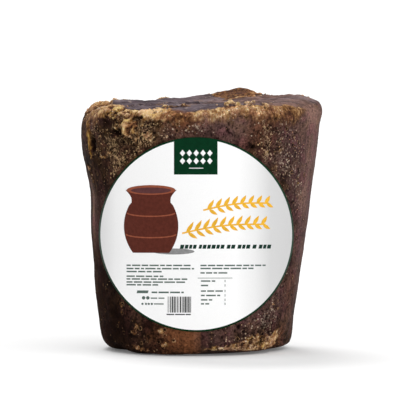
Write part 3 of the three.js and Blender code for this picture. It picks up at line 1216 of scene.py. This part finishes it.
class Finish(Nodes):
    """A finish's own material."""

    def __init__(self, name):
        self.material = bpy.data.materials.new(name)
        self.material.use_nodes = True
        tree = self.material.node_tree
        self.shader = tree.nodes["Principled BSDF"]
        super().__init__(tree, tree.nodes.new("ShaderNodeTexCoord").outputs["Object"])

    def effect(self, tree, numbers):
        given = {"Place": self.place, **numbers}
        return self.node("ShaderNodeGroup", given, node_tree=tree).outputs["Colour"]

    def finish(self, colour, roughness, normal, gloss):
        self.put(self.shader.inputs["Base Color"], colour)
        self.put(self.shader.inputs["Roughness"], roughness)
        self.put(self.shader.inputs["Normal"], normal)
        self.shader.inputs["Specular IOR Level"].default_value = gloss
        return self.material


def make_crust_tint():
    """The colour of crusted sugar, from its creases to the tips of its crystals, with painted shade in its
    creases and cracks and painted highlights on its ridges, curls and glints.
    """
    f = Effect("crust tint", ("Lumpy", "Bright", "Relief_Shade", "Painted_Shade"))
    lumpy = f.given["Lumpy"]
    grit = f.cloud(1.0, 3.0, 0.65)
    fibre = f.cloud(1.0, 3.0, 0.6, f.stretch((1.0, 1.0, 0.40)), 0.5)
    broad = f.calc("SUBTRACT", f.cloud(8.0, 2.0, 0.5, None, 0.4), 0.5)
    curl = f.off(f.cloud(2.6, 1.0, 0.5, None, 1.2), 0.5)
    crack = f.off(f.cloud(3.0, 2.0, 0.5, None, 0.8), 0.46)
    tone = f.times(f.given["Bright"], 0.55)
    for more in (
        f.times(f.cloud(2.8, 3.0, 0.6, None, 0.6), 0.6),
        f.times(f.mix(lumpy, fibre, grit), 1.6),
        # painted shade in the crust's creases and painted highlight on its ridges
        f.times(f.calc("SUBTRACT", f.given["Relief_Shade"], 0.5), 0.9),
        f.times(broad, f.ease(lumpy, 0.0, 1.0, 0.7, 1.4)),
        # painted highlight: thin bright curls on the lumps
        f.times(lumpy, f.ease(curl, 0.06, 0.0), 0.42),
    ):
        tone = f.calc("ADD", tone, more)
    # painted shade: thin dark cracks
    tone = f.calc("SUBTRACT", tone, f.times(lumpy, f.ease(crack, 0.04, 0.0), 0.34))
    # painted shade darkens the crust's tone
    tone = f.calc("SUBTRACT", tone, f.calc("ADD", f.times(f.given["Painted_Shade"], 0.35), 0.93))
    caramel = f.ramp(tone, ((0.08, SUGAR["red brown"]), (0.34, SUGAR["amber"]), (0.58, SUGAR["gold"]),
                            (0.84, SUGAR["cream"])))
    boulders = f.ramp(tone, ((0.02, SUGAR["night"]), (0.20, SUGAR["crease"]), (0.46, SUGAR["chestnut"]),
                             (0.70, SUGAR["tan"]), (0.96, SUGAR["pale tan"])))
    warm = f.times(f.ease(f.cloud(4.5, 2.0, 0.5, None, 0.5), 0.46, 0.60), f.ease(tone, 0.25, 0.45),
                   f.ease(tone, 1.0, 0.75))
    boulders = f.mix(f.times(warm, 0.75), boulders, SUGAR["honey"])
    colour = f.mix(lumpy, caramel, boulders)
    hue = f.cloud(3.6, 2.0, 0.5, None, 0.6)
    straw = f.times(f.ease(hue, 0.52, 0.64), f.ease(lumpy, 0.0, 0.6, 0.3, 1.0))
    colour = f.wash(straw, colour, "straw")
    colour = f.wash(f.ease(hue, 0.47, 0.36), colour, "blush")
    # glints: painted highlights, small near-white dots on the brighter crust
    glint = f.times(f.ease(f.cloud(0.75, 1.0), 0.60, 0.70), f.ease(tone, 0.40, 0.80, 0.0, 0.85),
                    f.ease(lumpy, 0.0, 0.4, 0.4, 1.0))
    f.put(f.out, f.mix(glint, colour, SUGAR["glint"]))
    return f.tree


def ground_colour(f, fine, rugged, olive, mauve, red, pale):
    """The set sugar under its specks: stains, a painted sheen where it is pale, tinges, blotches and upright
    streaks.
    """
    mottle = f.cloud(3.4, 3.0, 0.6)
    broad = f.cloud(15.0, 2.0, 0.5)
    tinge = f.cloud(6.5, 2.0, 0.5)
    streak = f.cloud(1.5, 3.0, 0.6, f.stretch((1.0, 1.0, 0.06)))
    body = f.mix(f.ease(broad, 0.30, 0.60), SUGAR["dark"], SUGAR["brown"])
    # the pale rose tint on the wall is a painted sheen
    for stain, share, name in ((olive, 0.7, "olive"), (mauve, 0.9, "mauve"), (red, 0.85, "red"),
                               (pale, 0.9, "rose")):
        body = f.mix(f.times(stain, share), body, SUGAR[name])
    not_red = f.ease(red, 0.5, 0.1)
    body = f.wash(f.times(f.ease(tinge, 0.50, 0.60), not_red), body, "plum")
    mossy = f.times(f.ease(tinge, 0.48, 0.38), not_red, f.ease(mauve, 0.3, 0.9, 1.0, 0.4))
    body = f.wash(mossy, body, "moss")
    blotch = f.times(f.ease(mottle, 0.55, 0.40), rugged, f.ease(mauve, 0.0, 1.0, 1.0, 0.55))
    body = f.shade(body, f.ease(blotch, 0.0, 1.0, 1.0, 0.36))
    body = f.shade(body, f.ease(fine, 0.25, 0.75, 0.40, 1.60))
    return f.shade(body, f.ease(streak, 0.3, 0.7, 0.76, 1.26))


def top_skin_colour(f, fine, grit, cluster, red, pale):
    """The slate-coloured skin on top, worn pale and tan along its folds."""
    fold = f.cloud(6.0, 4.0, 0.6, f.stretch((0.35, 1.0, 1.0)))
    patch = f.cloud(13.0, 2.0, 0.5)
    low, high = (f.shade(SUGAR["slate"], amount) for amount in (0.65, 1.3))
    skin = f.mix(f.ease(fold, 0.36, 0.58), low, high)
    worn = f.times(f.ease(fold, 0.50, 0.66), f.ease(fine, 0.30, 0.60))
    skin = f.mix(f.times(worn, f.ease(patch, 0.40, 0.55), 0.65), skin, SUGAR["pale slate"])
    skin = f.mix(f.times(worn, f.ease(patch, 0.55, 0.42), 0.6), skin, SUGAR["tan"])
    skin = f.mix(f.times(f.ease(grit, 0.60, 0.68), f.ease(cluster, 0.48, 0.60)), skin, SUGAR["bone"])
    skin = f.mix(f.times(f.ease(red, 0.2, 0.7), 0.9), skin, SUGAR["red"])
    faded = f.shade(SUGAR["rose"], f.ease(fold, 0.38, 0.62, 0.5, 1.2))
    return f.mix(f.times(pale, 0.95), skin, faded)


def make_sugar_material(crust_tint):
    f = Finish("set sugar")
    crust, comb, skin, smooth = (f.field(name) for name in ("crust", "comb", "skin", "smooth"))
    olive, mauve, red, painted_shade = (f.field(name) for name in ("olive", "mauve", "red", "painted_shade"))
    pit_shade, relief_shade, pale = f.field("pit_shade"), f.field("relief_shade"), f.field("pale")
    lumpy, bright = f.field("lumpy"), f.field("bright")
    fine = f.cloud(0.9, 4.0, 0.62)
    rugged = f.calc("SUBTRACT", 1.0, f.times(smooth, 0.85))
    off_skin = f.ease(skin, 0.5, 0.0)
    body = ground_colour(f, fine, rugged, olive, mauve, red, pale)

    dots = f.cloud(1.25, 1.5, 0.5)
    cluster = f.cloud(6.5, 2.5, 0.6, f.stretch((1.0, 1.0, 0.55)))
    start = f.calc("SUBTRACT", f.ease(comb, 0.0, 1.6, 0.87, 0.69), f.times(cluster, 0.31))
    start = f.calc("ADD", start, f.times(smooth, 0.12))
    over = f.calc("SUBTRACT", dots, start)
    specks = f.times(f.ease(over, 0.0, 0.055), f.ease(f.cloud(1.9, 2.0), 0.42, 0.60, 0.25, 1.0), off_skin)
    net = f.off(f.cloud(2.0, 1.0, 0.5, None, 1.0), 0.5)
    foamy = f.ease(f.calc("ADD", f.times(comb, 0.45), cluster), 0.86, 1.02)
    curls = f.times(f.ease(net, 0.050, 0.010), foamy, f.ease(fine, 0.34, 0.54), off_skin)
    curls = f.times(curls, f.ease(mauve, 0.2, 0.9, 1.0, 0.35))
    body = f.shade(body, f.ease(foamy, 0.0, 1.0, 1.0, 0.75))
    bead, bead_pick, bead_tone = f.cells(1.35)
    strewn = f.ease(f.calc("ADD", f.times(comb, 0.5), cluster), 0.50, 1.00, 0.03, 0.50)
    beads = f.times(f.ease(bead, 0.36, 0.16), f.calc("LESS_THAN", bead_pick, strewn), off_skin)
    beads = f.times(beads, f.ease(bead_tone, 0.0, 1.0, 0.25, 1.0), f.ease(smooth, 0.7, 0.2))
    pore, pick, tone = f.cells(2.6)
    open_here = f.calc("LESS_THAN", pick, f.ease(comb, 0.0, 1.0, 0.08, 0.30))
    open_here = f.times(open_here, f.ease(smooth, 0.6, 0.2))
    ring = f.times(f.ease(pore, 0.46, 0.36), f.ease(pore, 0.20, 0.30), open_here, f.ease(fine, 0.35, 0.6))
    # painted shade: the pores' holes are coloured near-black
    hole = f.times(f.ease(pore, 0.27, 0.18), open_here)
    # painted shade: small pits are coloured near-black
    pits = f.times(f.ease(dots, 0.40, 0.33), rugged)
    tan = f.mix(f.ease(f.cloud(2.2, 2.0), 0.4, 0.65), SUGAR["tan"], SUGAR["cream"])
    tan = f.mix(f.ease(mauve, 0.1, 0.9, 0.15, 0.85), tan, SUGAR["bone"])
    body = f.mix(f.times(ring, f.ease(tone, 0.0, 1.0, 0.25, 0.8)), body, SUGAR["tan"])
    for mask, share in ((curls, 0.70), (specks, 0.80), (beads, 0.90)):
        body = f.mix(f.times(mask, share), body, tan)
    # painted shade: pores, small pits and the shaded places go towards near-black
    for mask, share in ((pits, 0.75), (hole, 0.9), (painted_shade, 0.72)):
        body = f.mix(f.times(mask, share), body, SUGAR["night"])

    grit = f.cloud(1.3, 4.0, 0.65)
    fibre = f.cloud(1.0, 3.0, 0.6, f.stretch((1.0, 1.0, 0.30)), 0.5)
    crust_colour = f.effect(crust_tint, {"Lumpy": lumpy, "Bright": bright, "Relief_Shade": relief_shade, "Painted_Shade": painted_shade})
    crust_colour = f.wash(f.times(mauve, 0.8), crust_colour, "ashen")
    crust_colour = f.wash(f.field("ochre"), crust_colour, "ochre")
    loose = f.calc("ADD", crust, f.times(f.calc("SUBTRACT", f.mix(lumpy, fibre, grit), 0.5), 0.9))
    colour = f.mix(f.times(f.ease(loose, 0.10, 0.95), f.ease(crust, 0.0, 0.15)), body, crust_colour)

    colour = f.mix(skin, colour, top_skin_colour(f, fine, grit, cluster, red, pale))
    # painted shade: the pits near-black
    colour = f.mix(f.times(pit_shade, 0.92), colour, SUGAR["night"])

    rough = f.calc("ADD", f.ease(fine, 0.3, 0.7, 0.50, 0.66), f.times(painted_shade, 0.30))
    normal = f.bump(fine, 0.22)
    normal = f.bump(f.calc("SUBTRACT", f.calc("ADD", specks, ring), f.calc("ADD", hole, pits)), 0.30, normal)
    normal = f.bump(f.times(grit, crust), 0.8, normal)
    return f.finish(colour, rough, normal, 0.015)


def make_crystal_material(crust_tint):
    f = Finish("sugar crystals")
    fields = {name.title(): f.field(name) for name in ("lumpy", "bright", "relief_shade", "painted_shade")}
    colour = f.mix(0.30, f.effect(crust_tint, fields), SUGAR["tan"])
    colour = f.shade(colour, f.ease(f.field("tone"), 0.2, 1.0, 0.65, 1.75))
    return f.finish(colour, f.ease(f.cloud(1.0), 0.3, 0.7, 0.3, 0.5), f.bump(f.cloud(0.4, 3.0), 0.05), 0.3)


PAPER_PAINTED_SHADE = (  # how far across the label, and how white it is there; the grey towards both ends is painted shade for the paper's curve round the block
    (0.0, 0.68), (0.05, 0.77), (0.09, 0.86), (0.15, 0.90), (0.70, 0.90), (0.80, 0.77), (0.88, 0.60),
    (1.0, 0.54),
)


def make_paper_material():
    f = Finish("label paper")
    face = f.node("ShaderNodeUVMap", {}, uv_map="face").outputs["UV"]
    split = f.node("ShaderNodeSeparateXYZ", {"Vector": face})
    across, level = split.outputs["X"], split.outputs["Y"]
    # painted shade: the paper turns grey towards both ends
    grey = [(place, (shade, shade, shade)) for place, shade in PAPER_PAINTED_SHADE]
    fibre = f.cloud(0.5, 4.0, 0.6)
    colour = f.shade(f.ramp(across, grey), f.ease(fibre, 0.3, 0.7, 0.985, 1.015))
    # painted light: the paper is made brighter below its middle, up to 9 per cent at its foot
    colour = f.shade(colour, f.ease(level, 0.45, 0.0, 1.0, 1.09))
    return f.finish(colour, f.ease(fibre, 0.3, 0.7, 0.40, 0.50), f.bump(fibre, 0.01), 0.3)


INK_COLOURS = {
    "deep green ink": (0.0006, 0.028, 0.0095),
    "white ink": (0.85, 0.85, 0.85),
    "golden ink": (0.78, 0.42, 0.035),
    "grey ink": (0.25, 0.25, 0.25),
    "clay red ink": (0.095, 0.022, 0.014),
    "clay orange ink": (0.27, 0.075, 0.04),
    "clay dark ink": (0.10, 0.035, 0.035),
    "green black ink": (0.01, 0.035, 0.025),
    "soft green black ink": (0.10, 0.14, 0.12),
    "grey black ink": (0.09, 0.09, 0.09),
}


def make_ink_material(kind):
    f = Finish(kind)
    mottle = f.cloud(1.4, 3.0)
    colour = f.shade(INK_COLOURS[kind], f.ease(mottle, 0.3, 0.7, 0.88, 1.12))
    return f.finish(colour, f.ease(mottle, 0.3, 0.7, 0.36, 0.44), f.bump(mottle, 0.01), 0.04)


# ---- crystals and crumbs strewn on the skin ----
CUBE_GRAIN, BALL_GRAIN = 12, 80  # faces of a grain that starts as a cube or as a ball
GRAIN_KINDS = 4
GRAIN_NOISE = 1400.0  # scale of the noise that roughens them
GRAIN_ROUGHNESS = 0.9
NOISE_STEP = 7.0  # how far apart in that noise the kinds of grain lie


class Strewing(Tree):
    """Geometry Nodes that strew small grains over a mesh where one of its fields says so."""

    SIZES = ("Density", "Smallest", "Largest")

    def __init__(self, name, field, grain_faces):
        super().__init__(bpy.data.node_groups.new(name, "GeometryNodeTree"))
        face = self.tree.interface
        face.new_socket("Skin", in_out="INPUT", socket_type="NodeSocketGeometry")
        for size in self.SIZES:
            face.new_socket(size, in_out="INPUT", socket_type="NodeSocketFloat")
        face.new_socket("Seed", in_out="INPUT", socket_type="NodeSocketInt")
        face.new_socket("Finish", in_out="INPUT", socket_type="NodeSocketMaterial")
        face.new_socket("Grains", in_out="OUTPUT", socket_type="NodeSocketGeometry")
        self.given = self.tree.nodes.new("NodeGroupInput").outputs
        out = self.tree.nodes.new("NodeGroupOutput")
        where = self.node("GeometryNodeInputNamedAttribute", {"Name": field}, data_type="FLOAT")
        density = self.calc("MULTIPLY", self.given["Density"], where.outputs["Attribute"])
        points = self.node("GeometryNodeDistributePointsOnFaces", {
            "Mesh": self.given["Skin"], "Density": density, "Seed": self.given["Seed"]},
            distribute_method="RANDOM")
        width = self.chance("FLOAT", self.given["Smallest"], self.given["Largest"], 1)
        aspect = self.chance("FLOAT_VECTOR", (0.65, 0.65, 0.55), (1.15, 1.15, 1.0), 2)
        scale = self.vector("SCALE", {0: aspect, "Scale": width})
        turn = self.chance("FLOAT_VECTOR", (0.0, 0.0, 0.0), (6.283, 6.283, 6.283), 3)
        strewn = self.node("GeometryNodeInstanceOnPoints", {
            "Points": points.outputs["Points"], "Instance": self.grains(grain_faces), "Pick Instance": True,
            "Rotation": turn, "Scale": scale}).outputs["Instances"]
        tone = self.chance("FLOAT", 0.0, 1.0, 4)
        toned = self.node("GeometryNodeStoreNamedAttribute", {
            "Geometry": strewn, "Name": "tone", "Value": tone},
            data_type="FLOAT", domain="INSTANCE").outputs["Geometry"]
        real = self.node("GeometryNodeRealizeInstances", {"Geometry": toned}).outputs["Geometry"]
        finished = self.node("GeometryNodeSetMaterial", {"Geometry": real, "Material": self.given["Finish"]})
        self.tree.links.new(finished.outputs["Geometry"], out.inputs["Grains"])

    def vector(self, kind, inputs):
        return self.node("ShaderNodeVectorMath", inputs, operation=kind).outputs[0]

    def chance(self, kind, low, high, salt):
        seed = self.calc("ADD", self.given["Seed"], float(salt))
        node = self.node("FunctionNodeRandomValue", {"Seed": seed}, data_type=kind)
        pair = (0, 1) if kind == "FLOAT_VECTOR" else (2, 3)
        self.put(node.inputs[pair[0]], low)
        self.put(node.inputs[pair[1]], high)
        return node.outputs[0 if kind == "FLOAT_VECTOR" else 1]

    def grains(self, faces):
        """The shapes of grain, each about a millimetre across."""
        joined = self.tree.nodes.new("GeometryNodeJoinGeometry")
        for kind in range(GRAIN_KINDS):
            if faces == CUBE_GRAIN:
                ball = self.node("GeometryNodeMeshCube", {"Size": (0.8 * MM, 0.8 * MM, 0.8 * MM)})
            else:
                ball = self.node("GeometryNodeMeshIcoSphere", {"Radius": 0.5 * MM, "Subdivisions": 2})
            place = self.tree.nodes.new("GeometryNodeInputPosition").outputs[0]
            away = self.vector("ADD", {0: place, 1: (NOISE_STEP * kind * MM, 0.0, 0.0)})
            rough = self.node("ShaderNodeTexNoise", {"Vector": away, "Scale": GRAIN_NOISE, "Detail": 1.0})
            push = self.vector("SUBTRACT", {0: rough.outputs["Color"], 1: (0.5, 0.5, 0.5)})
            push = self.vector("SCALE", {0: push, "Scale": GRAIN_ROUGHNESS * MM})
            grain = self.node("GeometryNodeSetPosition", {"Geometry": ball.outputs["Mesh"], "Offset": push})
            one = self.node("GeometryNodeGeometryToInstance", {"Geometry": grain.outputs[0]}).outputs[0]
            self.tree.links.new(one, joined.inputs[0])
        return joined.outputs[0]


def strew(name, skin, field, faces, finish, seed, density, smallest, largest):
    """A plain mesh of grains; density is per square millimetre, sizes are in millimetres."""
    carrier = bpy.data.objects.new(name + "_carrier", skin.data)
    bpy.context.scene.collection.objects.link(carrier)
    modifier = carrier.modifiers.new(name, "NODES")
    strewing = Strewing(name, field, faces)
    modifier.node_group = strewing.tree
    values = {"Density": density / MM ** 2, "Smallest": smallest, "Largest": largest, "Seed": seed,
              "Finish": finish}
    for item in strewing.tree.interface.items_tree:
        if item.in_out == "INPUT" and item.name in values:
            modifier[item.identifier] = values[item.name]
    ready = carrier.evaluated_get(bpy.context.evaluated_depsgraph_get())
    mesh = bpy.data.meshes.new_from_object(ready)
    bpy.data.objects.remove(carrier)
    mesh.name = name
    piece = bpy.data.objects.new(name, mesh)
    bpy.context.scene.collection.objects.link(piece)
    return piece


# ---- stage ----
CAMERA_DISTANCE = 4000.0
CAMERA_RISE = 3.7  # degrees above level
FRAME_WIDTH = 173.2  # how wide a view the camera takes in at the block
AIM = (-0.37, 0.0, 64.6)
SENSOR = 36.0
FLOOR_REACH = 9000
FLOOR_TONE = 0.75
FLOOR_GLOW = 0.10
SKY_LEFT = 0.6
SKY_RIGHT = 1.15
SUNS = (  # name, strength, azimuth, elevation, softness
    ("key", 1.6, -158.0, 57.0, 28.0),
    ("fill", 0.55, 38.0, 32.0, 80.0),
)


def make_camera():
    data = bpy.data.cameras.new("camera")
    data.sensor_width = SENSOR
    data.lens = SENSOR * CAMERA_DISTANCE / FRAME_WIDTH
    data.clip_end = 100.0
    camera = bpy.data.objects.new("camera", data)
    bpy.context.scene.collection.objects.link(camera)
    rise = math.radians(CAMERA_RISE)
    back = Vector((0.0, -math.cos(rise), math.sin(rise)))
    camera.location = (Vector(AIM) + back * CAMERA_DISTANCE) * MM
    camera.rotation_euler = back.to_track_quat("Z", "Y").to_euler()
    bpy.context.scene.camera = camera


def make_floor():
    corners = [(x * FLOOR_REACH, y * FLOOR_REACH, 0) for x, y in ((-1, -1), (1, -1), (1, 1), (-1, 1))]
    floor = mesh_object("floor", corners, [(0, 1, 2, 3)], smooth=False)
    material = bpy.data.materials.new("pale floor")
    material.use_nodes = True
    shader = material.node_tree.nodes["Principled BSDF"]
    shader.inputs["Base Color"].default_value = (FLOOR_TONE, FLOOR_TONE, FLOOR_TONE, 1)
    shader.inputs["Roughness"].default_value = 0.9
    shader.inputs["Specular IOR Level"].default_value = 0.0
    shader.inputs["Emission Color"].default_value = (1, 1, 1, 1)
    shader.inputs["Emission Strength"].default_value = FLOOR_GLOW
    floor.data.materials.append(material)


def make_sun(name, strength, azimuth, elevation, softness):
    """A soft sun that shines from an azimuth (0 is the front, positive to the right) and an elevation."""
    data = bpy.data.lights.new(name, "SUN")
    data.energy = strength
    data.angle = math.radians(softness)
    light = bpy.data.objects.new(name, data)
    bpy.context.scene.collection.objects.link(light)
    turn, rise = math.radians(azimuth), math.radians(elevation)
    towards = Vector((math.sin(turn) * math.cos(rise), -math.cos(turn) * math.cos(rise), math.sin(rise)))
    light.rotation_euler = towards.to_track_quat("Z", "Y").to_euler()


def make_lights():
    world = bpy.data.worlds.new("studio")
    bpy.context.scene.world = world
    world.use_nodes = True
    tree = world.node_tree
    way = tree.nodes.new("ShaderNodeTexCoord")
    split = tree.nodes.new("ShaderNodeSeparateXYZ")
    tree.links.new(way.outputs["Generated"], split.inputs["Vector"])
    side = tree.nodes.new("ShaderNodeMapRange")
    tree.links.new(split.outputs["X"], side.inputs["Value"])
    for name, value in (("From Min", -1.0), ("From Max", 1.0), ("To Min", SKY_LEFT), ("To Max", SKY_RIGHT)):
        side.inputs[name].default_value = value
    sky = tree.nodes["Background"]
    sky.inputs["Color"].default_value = (1, 1, 1, 1)
    tree.links.new(side.outputs["Result"], sky.inputs["Strength"])
    for sun in SUNS:
        make_sun(*sun)
    bpy.context.scene.view_settings.view_transform = "Standard"


make_camera()
make_floor()
make_lights()

form = block_form()
place = LabelPlace(form)

block = make_block(form, place)
crust_tint = make_crust_tint()
block.data.materials.append(make_sugar_material(crust_tint))
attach(block, "root")
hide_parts("jaggery_block")

crystal_finish = make_crystal_material(crust_tint)
for grains in (
    strew("crust_crystals", block, "grain", CUBE_GRAIN, crystal_finish, 11, 0.5, 0.2, 0.6),
    strew("comb_crystals", block, "comb", CUBE_GRAIN, crystal_finish, 23, 0.12, 0.2, 0.5),
    strew("rim_crumbs", block, "crumbs", BALL_GRAIN, crystal_finish, 37, 0.6, 0.4, 1.2),
):
    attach(grains, "root")

paper = make_paper(place)
paper.data.materials.append(make_paper_material())
paper.data.materials.append(make_ink_material("deep green ink"))
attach(paper, "root")
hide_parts("label")

for piece in make_print(place):
    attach(piece, "root")
